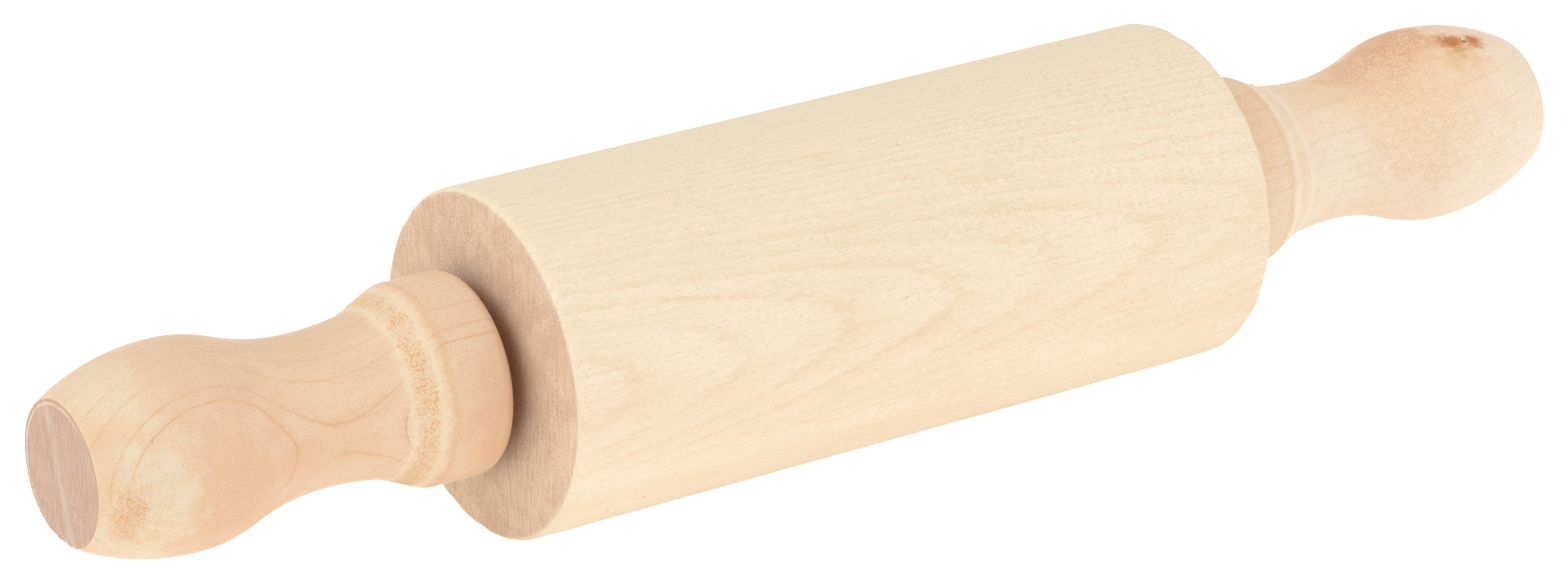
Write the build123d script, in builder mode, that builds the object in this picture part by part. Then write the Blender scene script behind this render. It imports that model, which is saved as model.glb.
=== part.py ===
from build123d import *
from math import radians, tan
import os

# Wooden rolling pin with turned handles, in millimetres.
# The pin lies along X with +Z up. Its origin is the middle of the barrel, on the axis that
# everything is turned about. Both handles are glued to one axle, and the barrel spins on it.

# Barrel
barrel_diameter = 50.0
barrel_length = 120.0
barrel_edge_round = 1.2
bore_countersink = 0.7

# Axle, a dowel that reaches from one handle's socket to the other's
axle_diameter = 12.0
axle_end_chamfer = 1.0

# Handle lengths along the axis, from the barrel outwards
collar_length = 9.7
shoulder_length = 6.0
cove_length = 9.2
swell_length = 20.4
crown_length = 17.0

# Handle diameters
collar_diameter = 28.8
shoulder_foot_diameter = 23.4
neck_diameter = 21.6
bulb_diameter = 29.3
end_disc_diameter = 20.5

# The point where the swell turns from hollow to round, as a share of the way to the bulb
swell_turn_share = 0.62

# Handle edges
collar_edge_round = 1.8
shoulder_round = 3.0
shoulder_foot_round = 8.0
end_disc_round = 0.7

# Handle socket, drilled from the barrel's side
socket_depth = 30.0
socket_countersink = 0.5
drill_point_angle = 118

# Fits
running_clearance = 0.1      # barrel bore round the axle, on the radius
glue_line = 0.05             # handle socket round the axle, on the radius
glue_space = 0.8             # left free past each end of the axle
end_gap = 2.7                # from each end of the barrel to the handle there

# Sizes that follow
barrel_radius = barrel_diameter / 2
bore_radius = axle_diameter / 2 + running_clearance
socket_radius = axle_diameter / 2 + glue_line
handle_start = barrel_length / 2 + end_gap
socket_bottom = handle_start + socket_depth
axle_length = 2 * (socket_bottom - glue_space)

os.makedirs("parts", exist_ok=True)

# Barrel: a plain roller with eased edges and a through bore
with BuildPart() as barrel:
    with BuildSketch(Plane.XZ) as wall_section:
        with Locations((0, (barrel_radius + bore_radius) / 2)):
            Rectangle(barrel_length, barrel_radius - bore_radius)
        fillet(wall_section.vertices().group_by(Axis.Y)[-1], barrel_edge_round)
        chamfer(wall_section.vertices().group_by(Axis.Y)[0], bore_countersink)
    revolve(axis=Axis.X)

# Axle: a dowel with chamfered ends
with BuildPart() as axle:
    with BuildSketch(Plane.YZ):
        Circle(axle_diameter / 2)
    extrude(amount=axle_length / 2, both=True)
    chamfer(axle.edges().filter_by(GeomType.CIRCLE), axle_end_chamfer)

# Handle outline: a collar, a sloping shoulder, a cove down to the neck, a swell up to the bulb
# and a crown that falls to the small flat end
shoulder_start = handle_start + collar_length
shoulder_end = shoulder_start + shoulder_length
neck_place = shoulder_end + cove_length
bulb_place = neck_place + swell_length
handle_end = bulb_place + crown_length

collar_rim = Vector(handle_start, collar_diameter / 2)
shoulder_top = Vector(shoulder_start, collar_diameter / 2)
shoulder_foot = Vector(shoulder_end, shoulder_foot_diameter / 2)
neck = Vector(neck_place, neck_diameter / 2)
bulb = Vector(bulb_place, bulb_diameter / 2)
end_rim = Vector(handle_end, end_disc_diameter / 2)
swell_turn = neck + (bulb - neck) * swell_turn_share

eased_corners = (
    (collar_rim, collar_edge_round),
    (shoulder_top, shoulder_round),
    (shoulder_foot, shoulder_foot_round),
    (end_rim, end_disc_round),
)

# Right handle: the turned outline, and a blind socket with a drill point for the axle
with BuildPart() as right_handle:
    with BuildSketch(Plane.XZ) as outline:
        with BuildLine():
            Polyline((handle_end, 0), (handle_start, 0), collar_rim, shoulder_top, shoulder_foot)
            TangentArc(neck, shoulder_foot, tangent=(-1, 0))
            hollow = TangentArc(neck, swell_turn, tangent=(1, 0))
            TangentArc(swell_turn, bulb, tangent=hollow % 1)
            TangentArc(bulb, end_rim, tangent=(1, 0))
            Line(end_rim, (handle_end, 0))
        make_face()
        for point, round_radius in eased_corners:
            fillet(outline.vertices().sort_by_distance(point)[0], round_radius)
    revolve(axis=Axis.X)

    with BuildSketch(Plane.XZ):
        with BuildLine():
            Polyline(
                (handle_start, 0),
                (handle_start, socket_radius + socket_countersink),
                (handle_start + socket_countersink, socket_radius),
                (socket_bottom, socket_radius),
                (socket_bottom + socket_radius / tan(radians(drill_point_angle / 2)), 0),
                close=True,
            )
        make_face()
    revolve(axis=Axis.X, mode=Mode.SUBTRACT)

# Left handle: the same turning, facing the other way
with BuildPart() as left_handle:
    mirror(right_handle.part, about=Plane.YZ)

barrel.part.label = "barrel"
axle.part.label = "axle"
right_handle.part.label = "right_handle"
left_handle.part.label = "left_handle"

export_step(barrel.part, "parts/barrel.step")
export_step(axle.part, "parts/axle.step")
export_step(right_handle.part, "parts/right_handle.step")
export_step(left_handle.part, "parts/left_handle.step")
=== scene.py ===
from itertools import product
from math import cos, hypot, pi, radians, sin

import bmesh
import bpy
import numpy as np
from mathutils import Matrix, Vector


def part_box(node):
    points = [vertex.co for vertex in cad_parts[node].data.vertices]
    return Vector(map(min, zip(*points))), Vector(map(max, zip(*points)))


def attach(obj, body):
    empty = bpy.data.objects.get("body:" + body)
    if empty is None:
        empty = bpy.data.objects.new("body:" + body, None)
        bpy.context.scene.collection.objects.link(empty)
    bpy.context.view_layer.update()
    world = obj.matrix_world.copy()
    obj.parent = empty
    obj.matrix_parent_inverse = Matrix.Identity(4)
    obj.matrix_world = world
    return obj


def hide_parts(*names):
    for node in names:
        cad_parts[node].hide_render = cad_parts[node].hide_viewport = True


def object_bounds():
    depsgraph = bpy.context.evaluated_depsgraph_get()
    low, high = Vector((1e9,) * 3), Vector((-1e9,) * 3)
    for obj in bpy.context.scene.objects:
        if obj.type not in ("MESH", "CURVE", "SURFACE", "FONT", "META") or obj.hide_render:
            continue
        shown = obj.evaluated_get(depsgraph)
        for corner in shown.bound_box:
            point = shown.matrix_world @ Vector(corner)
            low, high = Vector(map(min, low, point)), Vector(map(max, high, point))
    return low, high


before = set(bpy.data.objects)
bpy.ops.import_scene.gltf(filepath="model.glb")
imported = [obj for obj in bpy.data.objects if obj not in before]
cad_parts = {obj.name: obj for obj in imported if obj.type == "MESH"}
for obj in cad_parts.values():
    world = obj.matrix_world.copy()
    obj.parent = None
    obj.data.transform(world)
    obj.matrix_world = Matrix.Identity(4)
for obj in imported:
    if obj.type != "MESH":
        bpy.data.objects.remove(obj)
cad_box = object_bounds()
mm = 0.001

# Camera, as fitted to the photograph
camera_azimuth = radians(-34.7346)
camera_elevation = radians(21.9681)
camera_distance = 0.85394
camera_sideways = -0.0074333
camera_upwards = -0.0025681
camera_lens_mm = 137.324
camera_sensor_mm = 36.0

# Light: a dim white tent all round, wide soft lamps and a pale floor that glows a little
tent_level = 0.45
lamps = {
    # name: place, size, and the level to which it alone would light a facing white sheet at the pin
    "front_lamp": ((0.32, -1.35, 0.45), 0.9, 0.13),
    "left_lamp": ((-1.25, -0.55, 0.60), 1.2, 0.24),
    "back_left_lamp": ((-1.10, 0.60, 0.90), 1.2, 0.24),
    "right_lamp": ((1.15, -0.60, 0.80), 1.2, 0.22),
    "top_lamp": ((-0.10, 0.20, 1.60), 1.4, 0.19),
}
floor_size = 8.0
floor_tint = (243, 243, 242)
floor_glow = 0.20
floor_seen_glow = 0.50       # added where the camera looks at the floor

# Meshes
handle_row_step_mm = 0.27
barrel_row_step_mm = 0.52
hidden_row_step_mm = 2.5
handle_columns = 250
barrel_columns = 270
corner_turn = radians(25)    # an outline that turns more than this has a sharp corner there
corner_decimals = 2
same_corner_mm = 0.05
outside_share = 0.55         # corners beyond this share of the largest radius are the outside
axis_fade_mm = 1.0           # the relief fades out this near the axis
weld_mm = 0.001
noise_cells = 64

# Marks of the turning tool, the same on both handles, by distance from the collar's face
shoulder_band_mm = 13.2
shoulder_band_half_mm = 2.0
shoulder_ridge_mm = 0.06
shoulder_ridge_width_mm = 0.42
torn_depth_mm = 0.08
torn_width_mm = 1.24
band_wander_mm = 0.12
tear_sizes_mm = (0.55, 0.4, 0.4)
fine_tear_sizes_mm = (0.3, 0.25, 0.25)
swelling_mm = 0.035
swelling_sizes_mm = (9, 6, 6)
tool_wave_mm = 1.7
tool_wave_height_mm = 0.010
tool_wave_fade_mm = (2, 8)   # from the end face: none up to the first, all of it from the second on
seat_fade_mm = (0.02, 0.35)  # the same for all these marks, from the collar's face

# Ends of the handles, by radius
end_lip_radius_mm = 9.55
end_lip_mm = 0.09
end_lip_width_mm = 0.28
lip_side = radians(37)
lip_fade = (-0.3, 0.6)       # cosines of the angle from there at which the lip is gone and whole
worn_disc_share = 0.3        # how much of the disc's depth is left where the lip is gone
end_groove_radius_mm = 10.0
end_groove_mm = 0.05
end_groove_width_mm = 0.16
end_zone_mm = 0.4            # lip and groove lie within this of the end face
disc_depth_mm = 0.13
disc_scratch_mm = 0.03
disc_flat_mm = 0.02          # what lies within this of the end face is on it
chip_radius_mm = 10.1
chip_width_mm = 0.8
chip_zone_mm = 1.6           # chips reach this far from the end face

# Wear of the barrel
rim_reach_mm = 0.8
rim_wear_mm = 0.16
rim_wander_mm = 0.12
rim_ripple_mm = 0.07
far_scallop_mm = 0.42
near_nick_mm = 0.3
sanding_mm = 0.02
sanding_fade_mm = (0.5, 3)   # from the end face: none up to the first, all of it from the second on
saw_mark_mm = 0.02
sawn_flat_mm = 0.01          # what lies within this of the end face is on it

# Painted shade: the faces in the gap at the collars are painted brown up to this radius
gap_shade_radius_mm = 13.0
gap_shade_edge_mm = 3.0         # the brown comes in over this width


def smooth(value, low, high):
    """0 up to low, 1 from high on, and an even curve between."""
    share = np.clip((value - low) / (high - low), 0, 1)
    return share * share * (3 - 2 * share)


def bump(value, centre, width):
    """1 at the centre, falling to nothing past the width."""
    return np.exp(-(((value - centre) / width) ** 2))


def blobs(places, sizes, seed):
    """Smooth noise from -1 to 1 at each place, with blobs of the given sizes along x, y and z."""
    lattice = np.random.default_rng(seed).uniform(-1, 1, (noise_cells,) * 3)
    steps = places / np.array(sizes)
    cell = np.floor(steps).astype(int)
    share = steps - cell
    share = share * share * (3 - 2 * share)
    value = np.zeros(places.shape[:-1])
    for corner in product((0, 1), repeat=3):
        weight = np.prod(np.where(corner, share, 1 - share), axis=-1)
        along, across, above = np.moveaxis((cell + corner) % noise_cells, -1, 0)
        value += weight * lattice[along, across, above]
    return value


def turned_outline(node):
    """The (x, r) corners of a turned CAD node in mm: its outside from low x to high, then its bore back."""
    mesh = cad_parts[node].data
    places = np.zeros(len(mesh.vertices) * 3, np.float32)
    mesh.vertices.foreach_get("co", places)
    x, y, z = places.reshape(-1, 3).T.astype(float) / mm
    corners = np.stack([x, np.hypot(y, z)], axis=1)
    corners = np.unique(np.round(corners, corner_decimals), axis=0)
    outside = corners[:, 1] > outside_share * corners[:, 1].max()
    return apart(corners[outside]), apart(corners[~outside][::-1])


def apart(corners):
    """The corners without those that rounding split off from the one before."""
    steps = np.hypot(*np.diff(corners, axis=0).T)
    return corners[np.append(True, steps > same_corner_mm)]


def heading_slopes(stretch, lengths):
    """The direction at each corner of a stretch, where a long straight run beside it counts most."""
    chords = stretch[2:] - stretch[:-2]
    middle = chords / (lengths[2:] - lengths[:-2])[:, None]
    first = (stretch[1] - stretch[0]) / lengths[1]
    last = (stretch[-1] - stretch[-2]) / (lengths[-1] - lengths[-2])
    return np.vstack([first, middle, last])


def even_rows(corners, step):
    """Rows at an even step along an outline, on a smooth curve between its sharp corners."""
    runs = np.diff(corners, axis=0)
    headings = np.arctan2(runs[:, 1], runs[:, 0])
    turns = np.abs((np.diff(headings) + pi) % (2 * pi) - pi)
    breaks = [0, *(np.nonzero(turns > corner_turn)[0] + 1), len(corners) - 1]
    rows = []
    for first, last in zip(breaks, breaks[1:]):
        stretch = corners[first:last + 1]
        lengths = np.append(0, np.cumsum(np.hypot(*np.diff(stretch, axis=0).T)))
        slopes = heading_slopes(stretch, lengths)
        count = max(2, int(round(lengths[-1] / step)) + 1)
        for length in np.linspace(0, lengths[-1], count)[:-1]:
            at = min(np.searchsorted(lengths, length, side="right") - 1, len(stretch) - 2)
            run = lengths[at + 1] - lengths[at]
            t = (length - lengths[at]) / run
            start, finish = stretch[at], stretch[at + 1]
            rise_in, rise_out = slopes[at] * run, slopes[at + 1] * run
            cubic = (2 * t**3 - 3 * t**2 + 1) * start + (t**3 - 2 * t**2 + t) * rise_in
            cubic += (3 * t**2 - 2 * t**3) * finish + (t**3 - t**2) * rise_out
            rows.append(np.clip(cubic, stretch.min(axis=0), stretch.max(axis=0)))
    return rows


def turned_mesh(name, rows, columns, relief, closed):
    """A turned mesh with no open edges. relief gives how far each point stands out of the turning, in mm."""
    rows = np.array(rows)
    if closed:
        along = np.roll(rows, -1, axis=0) - np.roll(rows, 1, axis=0)
    else:
        along = np.gradient(rows, axis=0)
    along /= np.hypot(*along.T)[:, None]
    x, r = rows.T
    # The sign of the outline's area tells on which side of it the outside is
    clockwise = -np.sign(np.sum(x * np.roll(r, -1) - np.roll(x, -1) * r))
    outward = clockwise * np.stack([-along[:, 1], along[:, 0]], axis=1)
    angle = np.arange(columns) * 2 * pi / columns
    x = np.repeat(rows[:, :1], columns, axis=1)
    r = np.repeat(rows[:, 1:], columns, axis=1)
    around = np.repeat(angle[None, :], len(rows), axis=0)
    places = np.stack([x, r * np.cos(around), r * np.sin(around)], axis=-1)
    height = relief(x, r, around, places) * np.minimum(1, r / axis_fade_mm)
    x = x + outward[:, :1] * height
    r = r + outward[:, 1:] * height
    points = np.stack([x, r * np.cos(around), r * np.sin(around)], axis=-1).reshape(-1, 3) * mm
    index = np.arange(len(rows) * columns).reshape(len(rows), columns)
    if closed:
        index = np.vstack([index, index[:1]])
    beside = np.roll(index, -1, axis=1)
    faces = np.stack([index[:-1], beside[:-1], beside[1:], index[1:]], axis=-1).reshape(-1, 4)
    mesh = bpy.data.meshes.new(name)
    mesh.from_pydata(points, [], faces)
    piece = bpy.data.objects.new(name, mesh)
    bpy.context.scene.collection.objects.link(piece)
    tidy_mesh(mesh)
    return piece


def tidy_mesh(mesh):
    """Welds the points on the axis into one, drops the empty faces that leaves, and shades smoothly."""
    work = bmesh.new()
    work.from_mesh(mesh)
    bmesh.ops.remove_doubles(work, verts=work.verts, dist=weld_mm * mm)
    bmesh.ops.recalc_face_normals(work, faces=work.faces)
    work.to_mesh(mesh)
    work.free()
    mesh.polygons.foreach_set("use_smooth", [True] * len(mesh.polygons))
    mesh.update()


def angle_bump(angle, centre_degrees, half_turn_degrees):
    """1 at an angle about the axis, falling to nothing past the half turn on either side."""
    gap = np.abs((np.degrees(angle) - centre_degrees + 180) % 360 - 180)
    return bump(gap, 0, half_turn_degrees)


def spot(from_seat, angle, centre_mm, degrees, half_length_mm, half_turn_degrees):
    """A soft spot on a handle, by its distance from the collar's face and its angle."""
    return bump(from_seat, centre_mm, half_length_mm) * angle_bump(angle, degrees, half_turn_degrees)


def shoulder_relief(from_seat, hoops, tear, marks):
    """The torn band beside the collar, between its two low ridges."""
    seed = marks["seed"]
    band = from_seat + band_wander_mm * blobs(hoops, (40, 5, 5), seed)
    ridge_strength = 0.6 + 0.5 * blobs(hoops, (40, 4, 4), seed + 1)
    ridges = sum(
        bump(band, shoulder_band_mm + way * shoulder_band_half_mm, shoulder_ridge_width_mm)
        for way in (-1, 1)
    )
    torn = marks["torn"] * bump(band, shoulder_band_mm, torn_width_mm)
    return shoulder_ridge_mm * ridges * ridge_strength + torn_depth_mm * torn * (tear - 0.6)


def end_relief(r, from_end, angle, places, hoops, marks):
    """The end of a handle: a lip and a groove kept on one side, a scratched disc and a chipped rim."""
    seed = marks["seed"]
    at_end = from_end < end_zone_mm
    kept = smooth(np.cos(angle - lip_side), *lip_fade)
    sunk = disc_depth_mm * (worn_disc_share + (1 - worn_disc_share) * kept)
    wander = 0.7 + 0.3 * blobs(hoops, (40, 6, 6), seed + 4)
    height = end_lip_mm * bump(r, end_lip_radius_mm, end_lip_width_mm) * at_end * wander * kept
    height -= end_groove_mm * bump(r, end_groove_radius_mm, end_groove_width_mm) * at_end * kept
    scratches = disc_scratch_mm * blobs(places, (4, 0.5, 2.5), seed + 5)
    height += np.where(from_end < disc_flat_mm, scratches - sunk, 0)
    for degrees, half_turn_degrees, depth_mm in marks["rim_chips"]:
        chip = angle_bump(angle, degrees, half_turn_degrees) * bump(r, chip_radius_mm, chip_width_mm)
        rough = 0.75 + 0.5 * blobs(hoops, (40, 0.9, 0.9), seed + 6)
        height -= depth_mm * chip * (from_end < chip_zone_mm) * rough
    return height


def dress_handle(node, side, marks):
    """A turned handle: the CAD outline with its torn shoulder, lipped end disc and its own marks."""
    outside, bore = turned_outline(node)
    if side > 0:
        outside, bore = outside[::-1], bore[::-1]
    end = outside[0][0]
    seat = outside[-1][0]
    girth = outside[:, 1].max()
    end_centre = np.array([[end, 0.0]])
    rows = even_rows(np.vstack([end_centre, outside, bore[:1]]), handle_row_step_mm)
    rows += even_rows(bore, hidden_row_step_mm)
    rows.append(bore[-1])
    seed = marks["seed"]

    def relief(x, r, angle, places):
        from_seat = np.abs(x - seat)
        from_end = np.abs(x - end)
        # The places brought to one radius, for the noise of what runs round the handle
        hoops = np.stack([x, girth * np.cos(angle), girth * np.sin(angle)], axis=-1)
        tear = blobs(places, tear_sizes_mm, seed + 2) + 0.6 * blobs(places, fine_tear_sizes_mm, seed + 7)
        height = shoulder_relief(from_seat, hoops, tear, marks)
        for *where, depth_mm in marks["torn_patches"]:
            height += depth_mm * spot(from_seat, angle, *where) * (tear - 0.4)
        for *where, height_mm in marks["dents"]:
            height += height_mm * spot(from_seat, angle, *where)
        height += swelling_mm * blobs(places, swelling_sizes_mm, seed + 3)
        phase = from_seat * 2 * pi / tool_wave_mm + 2 * blobs(hoops, (60, 14, 14), seed + 5)
        height += tool_wave_height_mm * np.sin(phase) * smooth(from_end, *tool_wave_fade_mm)
        # Inside the lip, only the end's own relief counts
        off_disc = r > end_lip_radius_mm - 1
        height *= smooth(from_seat, *seat_fade_mm) * off_disc
        height += end_relief(r, from_end, angle, places, hoops, marks)
        return np.minimum(height, from_end)

    piece = turned_mesh(node + "_wood", rows, handle_columns, relief, closed=False)
    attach(piece, "handles")
    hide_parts(node)
    return piece


def dress_barrel():
    """The barrel: the CAD outline with worn, slightly uneven rims and sawn ends."""
    outside, bore = turned_outline("barrel")
    half = outside[:, 0].max()
    radius = outside[:, 1].max()
    rows = even_rows(np.vstack([outside, bore[:1]]), barrel_row_step_mm)
    rows += even_rows(bore, hidden_row_step_mm)
    rows += even_rows(np.vstack([bore[-1:], outside[:1]]), barrel_row_step_mm)

    def relief(x, r, angle, places):
        from_end = half - np.abs(x)
        # The places brought to one circle, for the noise of what runs round a rim
        hoops = np.stack([x * 0, radius * np.cos(angle), radius * np.sin(angle)], axis=-1)
        rim = np.exp(-((radius - r) + from_end) / rim_reach_mm)
        wear = rim_wear_mm + rim_wander_mm * blobs(hoops, (1, 14, 14), 11)
        wear += rim_ripple_mm * blobs(hoops, (1, 3, 3), 12)
        wear += far_scallop_mm * smooth(blobs(hoops, (1, 2.4, 2.4), 13), -0.1, 0.7) * (x > 0)
        wear += near_nick_mm * smooth(blobs(hoops, (1, 1.7, 1.7), 16), 0.1, 0.8) * (x < 0)
        sanding = sanding_mm * (1.5 + blobs(places, (22, 9, 9), 14))
        height = -rim * wear - smooth(from_end, *sanding_fade_mm) * sanding
        saw_marks = saw_mark_mm * (blobs(places, (1, 0.4, 3), 15) - 1)
        height += np.where(from_end < sawn_flat_mm, saw_marks, 0)
        return np.where(r > radius / 2, height, 0)

    piece = turned_mesh("barrel_wood", rows, barrel_columns, relief, closed=True)
    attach(piece, "barrel")
    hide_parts("barrel")
    return piece


def tint(red, green, blue):
    """A colour as it looks on a screen, 0 to 255 each, as the linear values that a shader takes."""
    return tuple(((part / 255 + 0.055) / 1.055) ** 2.4 for part in (red, green, blue)) + (1.0,)


class Graph:
    """Short names for the nodes that the materials are made of."""

    seed_shifts = (3.7, 5.3, 7.9)
    fleck_radius = 0.3

    def __init__(self, tree):
        self.tree = tree
        tree.nodes.clear()

    def node(self, kind, feeds=(), **settings):
        made = self.tree.nodes.new(kind)
        for setting, value in settings.items():
            setattr(made, setting, value)
        for socket, value in feeds:
            if isinstance(value, bpy.types.NodeSocket):
                self.tree.links.new(value, made.inputs[socket])
            else:
                made.inputs[socket].default_value = value
        return made

    def maths(self, operation, *values):
        return self.node("ShaderNodeMath", enumerate(values), operation=operation).outputs[0]

    def vector(self, operation, first, second):
        return self.node("ShaderNodeVectorMath", [(0, first), (1, second)], operation=operation).outputs[0]

    def add(self, first, second):
        return self.maths("ADD", first, second)

    def subtract(self, first, second):
        return self.maths("SUBTRACT", first, second)

    def times(self, first, second):
        return self.maths("MULTIPLY", first, second)

    def most(self, first, second):
        return self.maths("MAXIMUM", first, second)

    def ramp(self, value, low, high, start=0.0, finish=1.0):
        """start up to low, finish from high on, and an even curve between."""
        feeds = [("Value", value), ("From Min", low), ("From Max", high)]
        feeds += [("To Min", start), ("To Max", finish)]
        return self.node("ShaderNodeMapRange", feeds, interpolation_type="SMOOTHSTEP").outputs["Result"]

    def mix(self, share, first, second):
        """A share of the second colour in the first. The node's colours are inputs 6 and 7 and output 2."""
        feeds = [(0, share), (6, first), (7, second)]
        return self.node("ShaderNodeMix", feeds, data_type="RGBA").outputs[2]

    def shrink(self, place, sizes_mm, seed):
        """Places in units of the given sizes, moved to a part of the noise that the seed picks."""
        feeds = [("Vector", place), ("Scale", [1 / size for size in sizes_mm])]
        feeds.append(("Location", [seed * shift for shift in self.seed_shifts]))
        return self.node("ShaderNodeMapping", feeds).outputs[0]

    def noise(self, place, sizes_mm, seed, detail=2.0):
        """Noise from 0 to 1, with blobs of the given sizes in mm."""
        feeds = [("Vector", self.shrink(place, sizes_mm, seed)), ("Scale", 1.0), ("Detail", detail)]
        return self.node("ShaderNodeTexNoise", feeds).outputs[0]

    def flecks(self, place, sizes_mm, seed, kept=1.0, softness=0.35):
        """Flecks of the given sizes in mm: 0 between them, up to 1 inside, and only a share of them kept."""
        cells = [size / (2 * self.fleck_radius) for size in sizes_mm]
        feeds = [("Vector", self.shrink(place, cells, seed)), ("Scale", 1.0)]
        cell = self.node("ShaderNodeTexVoronoi", feeds).outputs
        rim = self.fleck_radius * (1 + softness)
        core = self.fleck_radius * (1 - softness)
        inside = self.ramp(cell["Distance"], rim, core)
        draw = self.split(cell["Color"])[0]
        highest_dropped = 1 - kept
        lowest_full = 1.01 - 0.5 * kept
        return self.times(inside, self.ramp(draw, highest_dropped, lowest_full))

    def split(self, vector):
        return self.node("ShaderNodeSeparateXYZ", [(0, vector)]).outputs

    def join(self, *parts):
        return self.node("ShaderNodeCombineXYZ", enumerate(parts)).outputs[0]

    def looked_at(self):
        """1 for the rays that come straight from the camera or by a reflection, 0 for those that light."""
        path = self.node("ShaderNodeLightPath").outputs
        return self.most(path["Is Camera Ray"], path["Is Glossy Ray"])


class Grain(Graph):
    """The nodes of one piece of wood, with its places in mm as the tree saw them."""

    ray_radius_mm = 40.0
    bend_mm = 0.5
    bend_sizes_mm = (30, 12, 12)
    bend_seed_step = 40
    edge_seed_step = 50
    edge_share = 0.4
    gloss = 0.3

    def __init__(self, name, pith_mm, lean, seed):
        self.material = bpy.data.materials.new(name)
        self.material.use_nodes = True
        super().__init__(self.material.node_tree)
        self.seed = seed
        coordinates = self.node("ShaderNodeTexCoord")
        self.place = self.vector("MULTIPLY", coordinates.outputs["Object"], (1 / mm,) * 3)
        self.x, self.y, self.z = self.split(self.place)
        self.radius = self.length(self.y, self.z)
        across = self.subtract(self.y, self.maths("MULTIPLY_ADD", self.x, lean[0], pith_mm[0]))
        above = self.subtract(self.z, self.maths("MULTIPLY_ADD", self.x, lean[1], pith_mm[1]))
        self.out = self.length(across, above)

        # The rays' angle is measured from the way that leads from the pith to the turning axis
        distance = hypot(*pith_mm)
        way = [-place / distance for place in pith_mm]
        ahead = self.add(self.times(across, way[0]), self.times(above, way[1]))
        aside = self.subtract(self.times(above, way[0]), self.times(across, way[1]))
        turn = self.times(self.maths("ARCTAN2", aside, ahead), self.ray_radius_mm)

        bend = self.noise(self.place, self.bend_sizes_mm, seed + self.bend_seed_step, 1.0)
        bend = self.ramp(bend, 0.25, 0.75, -self.bend_mm, self.bend_mm)
        self.fibres = self.join(self.x, self.add(across, bend), self.add(above, bend))
        self.rays = self.join(self.x, self.add(turn, bend), self.out)
        facing = self.split(coordinates.outputs["Normal"])[0]
        self.end_facing = self.maths("ABSOLUTE", facing)

    def length(self, first, second):
        return self.maths("SQRT", self.add(self.times(first, first), self.times(second, second)))

    def patch(self, x_mm, degrees, radius_mm, sizes_mm, softness=0.5, wander_mm=3.0):
        """A soft-edged patch on a turned surface, with its half sizes along the axis and around it."""
        centre = (x_mm, radius_mm * cos(radians(degrees)), radius_mm * sin(radians(degrees)))
        spread = (sizes_mm[0], sizes_mm[1], sizes_mm[1])
        scaled = self.vector("DIVIDE", self.vector("SUBTRACT", self.place, centre), spread)
        distance = self.node("ShaderNodeVectorMath", [(0, scaled)], operation="LENGTH").outputs["Value"]
        wander = self.noise(self.place, (wander_mm,) * 3, self.seed + self.edge_seed_step, 3.0)
        distance = self.add(distance, self.ramp(wander, 0.3, 0.7, -self.edge_share, self.edge_share))
        return self.ramp(distance, 1 + softness, 1 - softness)

    def finish(self, colour, roughness, height_mm):
        """Wires the colour, the roughness and a surface height in mm to the shader."""
        raised = self.node("ShaderNodeBump", [("Height", height_mm), ("Distance", mm), ("Strength", 1.0)])
        feeds = [("Base Color", colour), ("Roughness", roughness), ("Normal", raised.outputs[0])]
        feeds.append(("Specular IOR Level", self.gloss))
        shader = self.node("ShaderNodeBsdfPrincipled", feeds)
        self.node("ShaderNodeOutputMaterial", [("Surface", shader.outputs[0])])
        return self.material


def barrel_rings(wood):
    """The barrel's growth rings: thin line, broad late wood, pale early wood, and how strongly they show."""
    ring_step_mm = 0.633
    known_ring_mm = 53.61
    wobble_mm = 0.06
    jitter_mm = 0.07
    wobble = wood.noise(wood.fibres, (22, 7, 7), 3)
    jitter = wood.noise(wood.fibres, (2.2, 0.5, 0.5), 4)
    waved = wood.add(wood.out, wood.ramp(wobble, 0.2, 0.8, -wobble_mm, wobble_mm))
    waved = wood.add(waved, wood.ramp(jitter, 0.2, 0.8, -jitter_mm, jitter_mm))
    count = wood.times(wood.subtract(waved, known_ring_mm), 1 / ring_step_mm)
    within = wood.maths("FRACT", count)
    line = wood.ramp(wood.maths("PINGPONG", count, 0.5), 0.16, 0.0)
    broad = wood.ramp(within, 0.45, 1.0)
    early = wood.times(wood.ramp(within, 0.02, 0.15), wood.ramp(within, 0.6, 0.3))

    ring_number = wood.maths("FLOOR", wood.add(count, 0.5))
    draw = wood.node("ShaderNodeTexWhiteNoise", [("W", ring_number)], noise_dimensions="1D").outputs["Value"]
    break_up = wood.ramp(wood.noise(wood.fibres, (7, 1.0, 1.0), 5), 0.35, 0.62, 0.4, 1.0)
    shown = wood.times(break_up, wood.ramp(draw, 0.0, 1.0, 0.5, 1.0))
    shown = wood.times(shown, wood.ramp(wood.z, -15, 0, 0.12, 1.0))
    return line, broad, early, shown


def sawn_end(wood, ring_line):
    """The barrel's end: gritty end grain, with painted light that makes it paler low down, and painted brown
    shade in the gap under the collar.
    """
    upper_colour = tint(238, 209, 182)
    painted_light_colour = tint(249, 225, 199)
    gap_shade_colour = tint(206, 158, 118)
    grit_colour = tint(236, 206, 176)
    # Painted light: the end face is painted paler low down
    base = wood.mix(wood.ramp(wood.z, 6, -22), upper_colour, painted_light_colour)
    colour = end_grain(wood, ring_line, base, dark=tint(204, 161, 128), light=tint(248, 228, 208))
    # Painted shade: brown near the axle, seen only through the gap under the collar
    gap_shade = wood.ramp(wood.radius, gap_shade_radius_mm, gap_shade_radius_mm - gap_shade_edge_mm)
    colour = wood.mix(gap_shade, colour, gap_shade_colour)
    grit = wood.noise(wood.place, (1, 0.22, 0.3), 27, 3.0)
    return wood.mix(wood.ramp(grit, 0.52, 0.66, 0.0, 0.75), colour, grit_colour)


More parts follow.
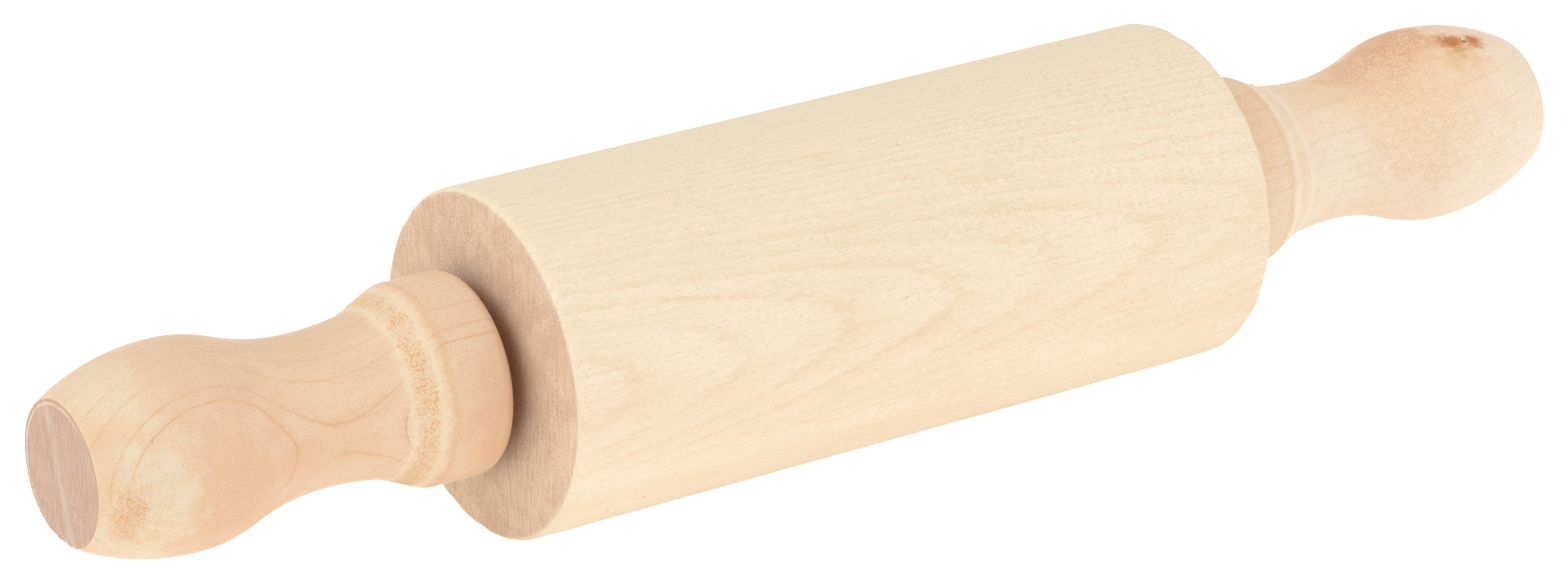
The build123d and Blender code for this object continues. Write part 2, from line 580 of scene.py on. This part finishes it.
def barrel_material():
    """Pale cream wood with close soft growth rings, short vessel dashes and darker sawn ends."""
    wood = Grain("barrel_wood", pith_mm=(29.48, -5.58), lean=(-0.0394, -0.0157), seed=1)
    cream = tint(249, 232, 207)
    peach = tint(247, 225, 198)
    painted_top_shade = tint(243, 229, 200)
    ring_colour = tint(240, 205, 168)
    dash_colour = tint(226, 190, 148)
    light_dash_colour = tint(252, 240, 220)
    speck_colour = tint(208, 154, 106)
    mottle_relief_mm = 0.03
    dash_relief_mm = 0.03
    sawn_relief_mm = 0.16

    tone = wood.noise(wood.fibres, (40, 8, 8), 1)
    colour = wood.mix(wood.ramp(tone, 0.38, 0.66), cream, peach)
    # Painted shade: a darker straw tint painted on towards the top of the barrel
    colour = wood.mix(wood.ramp(wood.z, 4, 24, 0.0, 0.85), colour, painted_top_shade)
    line, broad, early, shown = barrel_rings(wood)
    colour = wood.mix(wood.times(early, 0.35), colour, cream)
    colour = wood.mix(wood.times(wood.times(broad, 0.2), shown), colour, ring_colour)
    colour = wood.mix(wood.times(wood.times(line, 0.46), shown), colour, ring_colour)
    streaks = wood.noise(wood.fibres, (14, 0.35, 0.35), 2)
    colour = wood.mix(wood.ramp(streaks, 0.5, 0.75, 0.0, 0.35), colour, ring_colour)

    focus = wood.add(wood.ramp(wood.x, -40, 50, 0.25, 0.8), wood.ramp(wood.z, 0, 16, 0.0, 0.3))
    crowd = wood.times(focus, wood.ramp(wood.noise(wood.fibres, (12, 4, 4), 7), 0.3, 0.65, 0.4, 1.0))
    dashes = wood.flecks(wood.rays, (0.75, 0.09, 0.4), 6, kept=0.95)
    dash_share = wood.times(wood.times(dashes, crowd), 0.5)
    colour = wood.mix(dash_share, colour, dash_colour)
    light_dashes = wood.flecks(wood.rays, (0.75, 0.1, 0.4), 8, kept=0.95)
    colour = wood.mix(wood.times(light_dashes, wood.times(crowd, 0.55)), colour, light_dash_colour)
    mottle = wood.noise(wood.fibres, (0.7, 0.18, 0.18), 9, 3.0)
    colour = wood.mix(wood.ramp(mottle, 0.48, 0.72, 0.0, 0.34), colour, dash_colour)
    for x_mm, degrees, strength in barrel_specks:
        speck = wood.patch(x_mm, degrees, barrel_speck_radius_mm, barrel_speck_sizes_mm, 0.6, 0.6)
        colour = wood.mix(wood.times(speck, strength), colour, speck_colour)

    end_share = wood.ramp(wood.end_facing, 0.72, 0.96)
    colour = wood.mix(end_share, colour, sawn_end(wood, line))
    height = wood.add(wood.times(mottle, mottle_relief_mm), wood.times(dash_share, -dash_relief_mm))
    rough = wood.noise(wood.place, (0.2, 0.2, 0.2), 10)
    height = wood.add(height, wood.times(wood.times(end_share, rough), sawn_relief_mm))
    roughness = wood.ramp(mottle, 0.2, 0.8, 0.56, 0.7)
    return wood.finish(colour, roughness, height)


def end_grain(wood, ring_line, base, dark, light):
    """Colour of a cut across the fibres: darker, with ring lines and the speckle of open pores."""
    x, across, above = wood.split(wood.fibres)
    speckle = wood.noise(wood.fibres, (1, 0.2, 0.26), 21, 2.0)
    upright = wood.join(x, across, wood.times(above, 0.15))
    columns = wood.noise(upright, (9, 0.4, 0.9), 22)
    threads = wood.noise(upright, (9, 0.2, 0.3), 28)
    cloud = wood.noise(wood.fibres, (9, 4, 4), 23)
    colour = wood.mix(wood.ramp(cloud, 0.35, 0.65, 0.0, 0.35), base, dark)
    colour = wood.mix(wood.times(ring_line, 0.3), colour, dark)
    colour = wood.mix(wood.ramp(columns, 0.5, 0.7, 0.0, 0.5), colour, dark)
    colour = wood.mix(wood.ramp(threads, 0.52, 0.68, 0.0, 0.45), colour, dark)
    rough = wood.ramp(wood.noise(wood.fibres, (9, 5, 7), 29), 0.4, 0.6, 0.35, 1.0)
    colour = wood.mix(wood.times(rough, wood.ramp(speckle, 0.53, 0.68, 0.0, 0.8)), colour, dark)
    return wood.mix(wood.times(rough, wood.ramp(speckle, 0.47, 0.32, 0.0, 0.75)), colour, light)


def ring_lines(wood, rings):
    """How strongly a growth ring's thin line shows, from the rings' radii in mm and strengths."""
    jitter_mm = 0.035
    core_half_mm = 0.09
    shade_half_mm = 0.4
    shade_share = 0.25
    jitter = wood.noise(wood.fibres, (1.6, 0.6, 0.6), 4)
    waved = wood.add(wood.out, wood.ramp(jitter, 0.2, 0.8, -jitter_mm, jitter_mm))
    lines = 0.0
    for radius_mm, strength in rings:
        gap = wood.maths("ABSOLUTE", wood.subtract(waved, radius_mm))
        core = wood.ramp(gap, core_half_mm, 0.0, 0.0, strength)
        shade = wood.ramp(gap, shade_half_mm, 0.0, 0.0, strength * shade_share)
        lines = wood.most(lines, wood.add(core, shade))
    break_up = wood.noise(wood.fibres, (6, 3, 3), 5)
    return wood.times(lines, wood.ramp(break_up, 0.3, 0.6, 0.6, 1.0))


def torn_grain(wood, colour, share, shades):
    """Fuzzy torn fibres: yellow-brown speckle among pale raised fibres."""
    raised_colour = tint(244, 226, 194)
    fuzz = wood.noise(wood.place, (0.34, 0.2, 0.2), 7, 3.0)
    pale_fuzz = wood.noise(wood.place, (0.5, 0.2, 0.2), 17, 2.0)
    clumps = wood.ramp(wood.noise(wood.place, (1.8, 1.3, 1.3), 8, 3.0), 0.38, 0.62, 0.3, 0.9)
    dense = wood.times(share, clumps)
    colour = wood.mix(wood.times(dense, 0.55), colour, shades["torn_colour"])
    colour = wood.mix(wood.times(dense, wood.ramp(fuzz, 0.46, 0.59, 0.0, 0.95)), colour, shades["torn_dark"])
    pale_share = wood.times(share, wood.ramp(pale_fuzz, 0.52, 0.64, 0.0, 0.6))
    return wood.mix(pale_share, colour, raised_colour), fuzz


def knot(wood, colour, places):
    """A small reddish knot in two lobes with a dark pit and pale torn specks between them."""
    halo_colour = tint(232, 190, 138)
    lobe_colour = tint(210, 144, 88)
    core_colour = tint(182, 104, 54)
    tail_colour = tint(212, 156, 104)
    pit_colour = tint(96, 52, 34)
    pale_colour = tint(250, 226, 206)
    core_share = 0.55
    halo = wood.patch(*places["halo"], 0.7, 2.0)
    colour = wood.mix(wood.times(halo, 0.5), colour, halo_colour)
    for x_mm, degrees, radius_mm, sizes_mm in places["lobes"]:
        lobe = wood.patch(x_mm, degrees, radius_mm, sizes_mm, 0.65, 1.0)
        colour = wood.mix(wood.times(lobe, 0.95), colour, lobe_colour)
        core_sizes_mm = [size * core_share for size in sizes_mm]
        core = wood.patch(x_mm, degrees, radius_mm, core_sizes_mm, 0.6, 0.6)
        colour = wood.mix(wood.times(core, 0.65), colour, core_colour)
    for where in places["tails"]:
        colour = wood.mix(wood.times(wood.patch(*where, 0.6, 0.7), 0.35), colour, tail_colour)
    colour = wood.mix(wood.patch(*places["pit"], 0.4, 0.5), colour, pit_colour)
    for where in places["pale_specks"]:
        colour = wood.mix(wood.patch(*where, 0.4, 0.5), colour, pale_colour)
    return colour


def curl(wood, colour, share):
    """Curly figure: many short bright dashes, a little askew to the axis, over a rosier ground."""
    tilt = 0.3
    ground_colour = tint(234, 193, 151)
    bright_colour = tint(252, 232, 204)
    askew = wood.join(wood.x, wood.y, wood.subtract(wood.z, wood.times(wood.x, tilt)))
    first = wood.flecks(askew, (0.42, 0.13, 0.13), 11, kept=0.95, softness=0.6)
    second = wood.flecks(askew, (0.34, 0.12, 0.12), 14, kept=0.95, softness=0.6)
    bright = wood.most(first, second)
    ground = wood.ramp(wood.noise(askew, (0.9, 0.5, 0.5), 12), 0.36, 0.6, 0.15, 0.55)
    colour = wood.mix(wood.times(share, ground), colour, ground_colour)
    colour = wood.mix(wood.times(share, wood.times(bright, 0.7)), colour, bright_colour)
    return colour, wood.times(share, bright)


def handle_ground(wood, lines, figure):
    """A handle's smooth wood: tan and peach with its ring lines and zones. Gives its colour and mottle."""
    shades = figure["shades"]
    blotches = wood.noise(wood.fibres, (14, 5, 5), 1)
    colour = wood.mix(wood.ramp(blotches, 0.4, 0.66, 0.0, 0.7), shades["tan"], shades["peach"])
    streaks = wood.noise(wood.fibres, (14, 0.4, 0.4), 2)
    colour = wood.mix(wood.ramp(streaks, 0.5, 0.75, 0.0, 0.3), colour, shades["streak"])
    for shade, strength, softness, *where in figure["zones"]:
        zone = wood.patch(*where, softness, 4.0)
        colour = wood.mix(wood.times(zone, strength), colour, shades[shade])
    colour = wood.mix(lines, colour, shades["line"])
    mottle = wood.noise(wood.place, (0.42, 0.26, 0.26), 3, 3.0)
    colour = wood.mix(wood.ramp(mottle, 0.5, 0.72, 0.0, 0.55), colour, shades["streak"])
    colour = wood.mix(wood.ramp(mottle, 0.5, 0.28, 0.0, 0.35), colour, shades["light"])
    dashes = wood.flecks(wood.rays, (1.0, 0.15, 0.5), 13, kept=0.6)
    return wood.mix(wood.times(dashes, figure["dashes"]), colour, shades["streak"]), mottle


def shoulder_band(wood, colour, from_seat, shades):
    """The pale frayed band beside the collar. Gives its colour and the distance from its middle."""
    wander_mm = 0.2
    fray_mm = 0.35
    fade_outside_mm = 0.9
    fade_inside_mm = 0.4
    red_edge_mm = 1.5
    red_edge_half_mm = 0.9
    wander = wood.ramp(wood.noise(wood.place, (5, 5, 5), 6), 0.3, 0.7, -wander_mm, wander_mm)
    fray = wood.ramp(wood.noise(wood.place, (0.8, 0.4, 0.4), 16, 3.0), 0.3, 0.7, -fray_mm, fray_mm)
    off_band = wood.add(wood.subtract(from_seat, shoulder_band_mm), wander)
    off_band = wood.add(off_band, fray)
    band_gap = wood.maths("ABSOLUTE", off_band)
    outer_mm = shoulder_band_half_mm + fade_outside_mm
    band = wood.ramp(band_gap, outer_mm, shoulder_band_half_mm - fade_inside_mm)
    colour = wood.mix(wood.times(band, 0.65), colour, shades["band"])
    rims = wood.times(band, wood.ramp(band_gap, 0.9, 1.7))
    colour = wood.mix(wood.times(rims, 0.5), colour, shades["rim"])
    off_edge = wood.maths("ABSOLUTE", wood.add(off_band, shoulder_band_half_mm + red_edge_mm))
    red_edge = wood.ramp(off_edge, red_edge_half_mm, 0.0, 0.0, 0.35)
    return wood.mix(red_edge, colour, shades["line"]), band_gap


def end_disc(wood, lines, lip_kept, figure):
    """The end of a handle: end grain with scratches, a pale streak across it and what is kept of its lip."""
    shades = figure["shades"]
    disc = end_grain(wood, lines, shades["disc"], shades["disc_dark"], shades["disc_light"])
    scratches = wood.noise(wood.place, (3, 0.22, 2.6), 24)
    disc = wood.mix(wood.ramp(scratches, 0.52, 0.7, 0.0, 0.6), disc, shades["disc_light"])
    streak_half_mm = 1.5
    streak_y, streak_z, streak_off_mm = figure["streak_end"]
    off_streak = wood.add(wood.times(wood.y, streak_y), wood.times(wood.z, streak_z))
    off_streak = wood.subtract(off_streak, streak_off_mm)
    streak = wood.ramp(wood.maths("ABSOLUTE", off_streak), streak_half_mm, 0.0)
    streak = wood.times(streak, wood.ramp(wood.noise(wood.place, (3, 0.8, 4), 25), 0.25, 0.55))
    disc = wood.mix(wood.times(streak, 0.45), disc, shades["disc_streak"])
    off_lip = wood.maths("ABSOLUTE", wood.subtract(wood.radius, end_lip_radius_mm))
    lip_share = wood.ramp(wood.noise(wood.place, (5, 5, 5), 26), 0.3, 0.6, 0.35, 0.9)
    lip_share = wood.times(lip_share, lip_kept)
    return wood.mix(wood.times(wood.ramp(off_lip, 0.3, 0.05), lip_share), disc, shades["lip"])


def handle_material(node, side, figure):
    """Smooth pinkish tan wood with thin growth rings, a pale torn shoulder and a darker end disc."""
    wood = Grain(node + "_wood", figure["pith_mm"], figure["lean"], figure["seed"])
    low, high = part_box(node)
    seat_mm = (low if side > 0 else high)[0] / mm
    from_seat = wood.times(wood.subtract(wood.x, seat_mm), side)
    shades = figure["shades"]
    speck_colour = tint(150, 100, 66)
    gap_shade_colour = tint(176, 126, 88)
    groove_half_mm = 0.18
    fibre_relief_mm = 0.012
    mottle_relief_mm = 0.012
    torn_relief_mm = 0.07
    curl_relief_mm = 0.02
    sawn_relief_mm = 0.07

    lines = ring_lines(wood, figure["rings"])
    for strength, *where in figure["faded"]:
        lines = wood.times(lines, wood.ramp(wood.patch(*where, 0.7, 5.0), 0.0, 1.0, 1.0, 1 - strength))
    colour, mottle = handle_ground(wood, lines, figure)
    bright = 0.0
    for where in figure["curl"]:
        colour, flecks = curl(wood, colour, wood.patch(*where, 0.5, 4.0))
        bright = wood.most(bright, flecks)
    if "knot" in figure:
        colour = knot(wood, colour, figure["knot"])
    for where in figure["specks"]:
        colour = wood.mix(wood.patch(*where, 0.4, 0.6), colour, speck_colour)

    colour, band_gap = shoulder_band(wood, colour, from_seat, shades)
    torn = wood.times(wood.ramp(band_gap, 2.0, 0.8), figure["torn"])
    for strength, *where in figure["torn_zones"]:
        torn = wood.most(torn, wood.times(wood.patch(*where, 0.6, 2.0), strength))
    colour, fuzz = torn_grain(wood, colour, torn, shades)

    # The lip and the groove round the end disc are kept on one side only
    towards_lip = wood.add(wood.times(wood.y, cos(lip_side)), wood.times(wood.z, sin(lip_side)))
    lip_kept = wood.ramp(towards_lip, -3, 5)
    past_neck = wood.ramp(from_seat, 20, 40)
    near_end = wood.ramp(from_seat, 55, 60)
    at_seat = wood.ramp(from_seat, 1.2, 0.4)
    end_share = wood.times(wood.ramp(wood.end_facing, 0.80, 0.97), past_neck)
    colour = wood.mix(end_share, colour, end_disc(wood, lines, lip_kept, figure))
    off_groove = wood.maths("ABSOLUTE", wood.subtract(wood.radius, end_groove_radius_mm))
    groove = wood.times(wood.ramp(off_groove, groove_half_mm, 0.0, 0.0, 0.4), near_end)
    groove = wood.times(groove, lip_kept)
    colour = wood.mix(wood.times(groove, wood.ramp(wood.end_facing, 0.3, 0.7)), colour, shades["groove"])
    # Painted shade: the collar's face towards the barrel is painted brown where it lies in the gap
    gap_shade = wood.times(wood.ramp(wood.end_facing, 0.6, 0.9), at_seat)
    colour = wood.mix(gap_shade, colour, gap_shade_colour)

    fine = wood.noise(wood.fibres, (1.6, 0.14, 0.14), 9)
    torn_fuzz = wood.times(torn, fuzz)
    height = wood.add(wood.times(fine, fibre_relief_mm), wood.times(torn_fuzz, torn_relief_mm))
    height = wood.add(height, wood.times(mottle, mottle_relief_mm))
    height = wood.add(height, wood.times(bright, curl_relief_mm))
    rough = wood.noise(wood.place, (0.25, 0.25, 0.25), 10)
    height = wood.add(height, wood.times(wood.times(end_share, rough), sawn_relief_mm))
    roughness = wood.most(wood.ramp(fine, 0.2, 0.8, 0.44, 0.56), wood.times(torn, 0.8))
    return wood.finish(colour, roughness, height)


def axle_material():
    """Plain dowel, a little darker than the rest, with close streaks along it."""
    wood = Grain("axle_wood", pith_mm=(8.0, 14.0), lean=(0.01, 0.02), seed=5)
    streaks = wood.noise(wood.fibres, (16, 0.5, 0.5), 1)
    colour = wood.mix(wood.ramp(streaks, 0.35, 0.7), tint(214, 178, 138), tint(190, 146, 104))
    dashes = wood.flecks(wood.rays, (1.2, 0.18, 0.5), 2)
    colour = wood.mix(wood.times(dashes, 0.6), colour, tint(166, 122, 82))
    fine = wood.noise(wood.fibres, (2, 0.15, 0.15), 3)
    return wood.finish(colour, wood.ramp(fine, 0.2, 0.8, 0.55, 0.7), wood.times(fine, 0.03))


def stage_floor():
    """A plain pale floor under the barrel, which keeps the pin's shadow."""
    mesh = bpy.data.meshes.new("floor")
    half = floor_size / 2
    height = cad_box[0][2]
    corners = [(x, y, height) for x, y in ((-half, -half), (half, -half), (half, half), (-half, half))]
    mesh.from_pydata(corners, [], [(0, 1, 2, 3)])
    floor = bpy.data.objects.new("floor", mesh)
    bpy.context.scene.collection.objects.link(floor)
    material = bpy.data.materials.new("floor")
    material.use_nodes = True
    graph = Graph(material.node_tree)
    diffuse = graph.node("ShaderNodeBsdfDiffuse", [("Color", tint(*floor_tint))])
    strength = graph.maths("MULTIPLY_ADD", graph.looked_at(), floor_seen_glow, floor_glow)
    glow = graph.node("ShaderNodeEmission", [("Color", (1, 1, 1, 1)), ("Strength", strength)])
    both = graph.node("ShaderNodeAddShader", [(0, diffuse.outputs[0]), (1, glow.outputs[0])])
    graph.node("ShaderNodeOutputMaterial", [("Surface", both.outputs[0])])
    mesh.materials.append(material)


def studio_world():
    """An even white tent, which the camera sees as plain white."""
    world = bpy.data.worlds.new("studio")
    world.use_nodes = True
    graph = Graph(world.node_tree)
    level = graph.ramp(graph.looked_at(), 0.0, 1.0, tent_level, 1.0)
    tent = graph.node("ShaderNodeBackground", [("Color", (1, 1, 1, 1)), ("Strength", level)])
    graph.node("ShaderNodeOutputWorld", [("Surface", tent.outputs[0])])
    bpy.context.scene.world = world


def soft_lamp(name, place, size, level):
    """A square lamp aimed at the pin, which alone would light a facing white sheet there to that level."""
    place = Vector(place)
    data = bpy.data.lights.new(name, "AREA")
    data.size = size
    data.energy = level * pi**2 * place.length_squared
    lamp = bpy.data.objects.new(name, data)
    lamp.location = place
    lamp.rotation_euler = (-place).to_track_quat("-Z", "Y").to_euler()
    bpy.context.scene.collection.objects.link(lamp)


def photo_camera():
    """The camera at the photograph's view."""
    back = Vector((
        sin(camera_azimuth) * cos(camera_elevation),
        -cos(camera_azimuth) * cos(camera_elevation),
        sin(camera_elevation),
    ))
    right = Vector((cos(camera_azimuth), sin(camera_azimuth), 0))
    up = back.cross(right)
    data = bpy.data.cameras.new("camera")
    data.lens = camera_lens_mm
    data.sensor_width = camera_sensor_mm
    data.clip_start = 0.05
    data.clip_end = 50
    camera = bpy.data.objects.new("camera", data)
    place = back * camera_distance + right * camera_sideways + up * camera_upwards
    camera.matrix_world = Matrix.Translation(place) @ Matrix((right, up, back)).transposed().to_4x4()
    bpy.context.scene.collection.objects.link(camera)
    bpy.context.scene.camera = camera


# Geometry marks of each handle. A torn patch has its distance from the collar's face, angle from +Y
# towards +Z, half length, half width in degrees and depth. A dent has the same with a height in place of
# the depth, negative for a hollow. A chip has its angle, half width in degrees and depth.
left_marks = {
    "seed": 100,
    "torn": 1.0,
    "torn_patches": [(58.2, -165, 3.6, 24, 0.11)],
    "dents": [(0.5, 165, 1.2, 60, -0.12)],
    "rim_chips": [(-88, 19, 0.42)],
}
right_marks = {
    "seed": 200,
    "torn": 0.3,
    "torn_patches": [],
    "dents": [(50.5, 107.5, 0.4, 1.8, -0.30), (12.7, 91.1, 0.35, 1.5, 0.22)],
    "rim_chips": [],
}

# Small brown specks on the barrel: x in mm, angle from +Y towards +Z and strength
barrel_speck_radius_mm = 24.9
barrel_speck_sizes_mm = (0.3, 0.2)
barrel_specks = [
    (-45.4, -138.7, 0.9), (-50.7, -134.6, 0.9), (2.7, 115.9, 0.35), (-5.0, 167, 0.4), (36.5, -139.9, 0.7),
]

# Shades of the end of either handle
end_shades = {
    "disc": tint(204, 170, 146),
    "disc_dark": tint(182, 142, 118),
    "disc_light": tint(218, 192, 172),
    "disc_streak": tint(222, 202, 186),
    "lip": tint(232, 206, 176),
    "groove": tint(196, 150, 112),
}

# Figure of each handle's wood. A place is x, angle from +Y towards +Z, radius and half sizes along and
# around, all in mm but the angle. A ring is its radius from the pith and its strength. A zone is its
# shade, strength and softness, then its place, and a faded or torn zone is its strength, then its place.
# The streak on the end has the way across it in y and z, then how far that way it lies from the middle.
left_figure = {
    "seed": 2,
    "pith_mm": (28.40, 2.92),
    "lean": (0.0102, 0.025),
    "rings": [
        (39.23, 0.6), (38.15, 0.5), (35.93, 0.45), (33.74, 0.35), (31.9, 0.3), (30.3, 0.35), (28.2, 0.35),
        (25.9, 0.5), (24.0, 0.3), (22.1, 0.4), (19.8, 0.4), (17.6, 0.5), (15.3, 0.4),
    ],
    "shades": {
        "tan": tint(238, 208, 176),
        "peach": tint(236, 200, 163),
        "warm": tint(231, 187, 147),
        "rose": tint(229, 195, 164),
        "pale": tint(236, 219, 192),
        "light": tint(244, 218, 189),
        "band": tint(240, 217, 183),
        "rim": tint(243, 226, 199),
        "streak": tint(228, 186, 146),
        "line": tint(225, 170, 118),
        "torn_colour": tint(241, 205, 164),
        "torn_dark": tint(224, 163, 104),
        **end_shades,
    },
    "dashes": 0.15,
    "streak_end": (0.956, -0.294, 0.8),
    "zones": [
        ("warm", 0.8, 0.7, -106.0, -168, 14.5, (9.2, 13.0)),
        ("warm", 0.7, 0.7, -66.0, -169, 14.4, (4.5, 9.0)),
        ("peach", 0.9, 0.7, -122.8, 130, 11.7, (3.5, 5.0)),
        ("rose", 0.9, 0.8, -109.0, 108, 14.5, (7.5, 8.0)),
        ("rose", 0.6, 0.7, -89.2, 96, 11.0, (9.0, 6.0)),
        ("light", 0.35, 0.8, -67.5, 108, 14.3, (5.0, 9.0)),
        ("pale", 0.65, 0.6, -119.8, 103, 12.6, (4.8, 7.5)),
        ("pale", 0.95, 0.4, -118.8, -170, 12.8, (6.2, 10.5)),
        ("torn_dark", 0.5, 0.8, -121.2, -165, 12.2, (1.8, 3.6)),
    ],
    "faded": [
        (0.85, -110.5, -147, 14.5, (9.0, 8.0)),
        (0.8, -118.0, 179, 13.2, (4.5, 5.0)),
        (0.6, -93.2, -149, 11.5, (6.0, 5.0)),
        (0.2, -113.5, 76, 14.0, (10.0, 8.0)),
    ],
    "curl": [],
    "specks": [(-117.35, 149.2, 13.4, (0.12, 0.12))],
    "torn": 1.0,
    "torn_zones": [(1.0, -121.2, -165, 12.2, (2.2, 4.4)), (0.55, -119.6, -171, 12.6, (3.8, 6.8))],
}
right_figure = {
    "seed": 3,
    "pith_mm": (-9.0, -34.0),
    "lean": (0.012, 0.02),
    "rings": [
        (46.5, 0.2), (44.9, 0.3), (43.2, 0.15), (41.8, 0.35), (40.1, 0.15), (38.3, 0.3), (36.9, 0.15),
        (35.0, 0.25), (33.2, 0.15), (31.3, 0.3), (29.3, 0.2), (27.4, 0.15), (25.2, 0.3), (23.0, 0.2),
    ],
    "shades": {
        "tan": tint(246, 221, 193),
        "peach": tint(244, 215, 184),
        "warm": tint(236, 198, 156),
        "red": tint(216, 150, 96),
        "pale": tint(245, 228, 207),
        "light": tint(248, 226, 200),
        "band": tint(243, 224, 197),
        "rim": tint(244, 230, 208),
        "streak": tint(230, 190, 152),
        "line": tint(226, 174, 126),
        "torn_colour": tint(240, 216, 180),
        "torn_dark": tint(222, 186, 146),
        **end_shades,
    },
    "dashes": 0.22,
    "streak_end": (0.8, -0.6, 0.0),
    "zones": [
        ("warm", 0.8, 0.7, 98.0, 104, 12.6, (14.0, 9.5)),
        ("warm", 0.55, 0.7, 68.0, 122, 14.3, (6.0, 12.0)),
        ("red", 0.9, 0.7, 102.5, 90, 13.9, (6.5, 6.0)),
        ("red", 0.5, 0.7, 94.5, 86, 11.6, (6.0, 5.0)),
        ("pale", 0.8, 0.6, 120.6, 166, 12.4, (6.0, 12.0)),
        ("pale", 0.95, 0.9, 107.0, -162, 14.4, (12.0, 10.0)),
        ("pale", 0.95, 0.9, 86.0, 180, 11.2, (15.0, 8.0)),
    ],
    "faded": [],
    "curl": [(98.3, 141, 12.8, (8.0, 11.5)), (100.0, 100, 13.2, (8.0, 6.5))],
    "knot": {
        "halo": (110.3, 119, 14.55, (3.7, 2.6)),
        "lobes": [(110.9, 106.8, 14.5, (2.3, 1.8)), (114.9, 107.8, 13.9, (1.8, 1.5))],
        "tails": [(110.3, 115.9, 14.55, (0.9, 0.5)), (110.6, 120.4, 14.55, (0.7, 0.4))],
        "pit": (113.2, 107.5, 14.25, (0.4, 0.35)),
        "pale_specks": [(113.3, 105.7, 14.25, (0.22, 0.2)), (113.0, 110.2, 14.3, (0.25, 0.2))],
    },
    "specks": [(75.4, 91.1, 13.05, (0.3, 0.25))],
    "torn": 0.6,
    "torn_zones": [],
}

photo_camera()
studio_world()
stage_floor()
for name, (place, size, level) in lamps.items():
    soft_lamp(name, place, size, level)
bpy.context.scene.view_settings.view_transform = "Standard"

barrel = dress_barrel()
barrel.data.materials.append(barrel_material())
for node, side, marks, figure in (
    ("left_handle", -1, left_marks, left_figure),
    ("right_handle", 1, right_marks, right_figure),
):
    handle = dress_handle(node, side, marks)
    handle.data.materials.append(handle_material(node, side, figure))
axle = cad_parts["axle"]
axle.data.materials.clear()
axle.data.materials.append(axle_material())
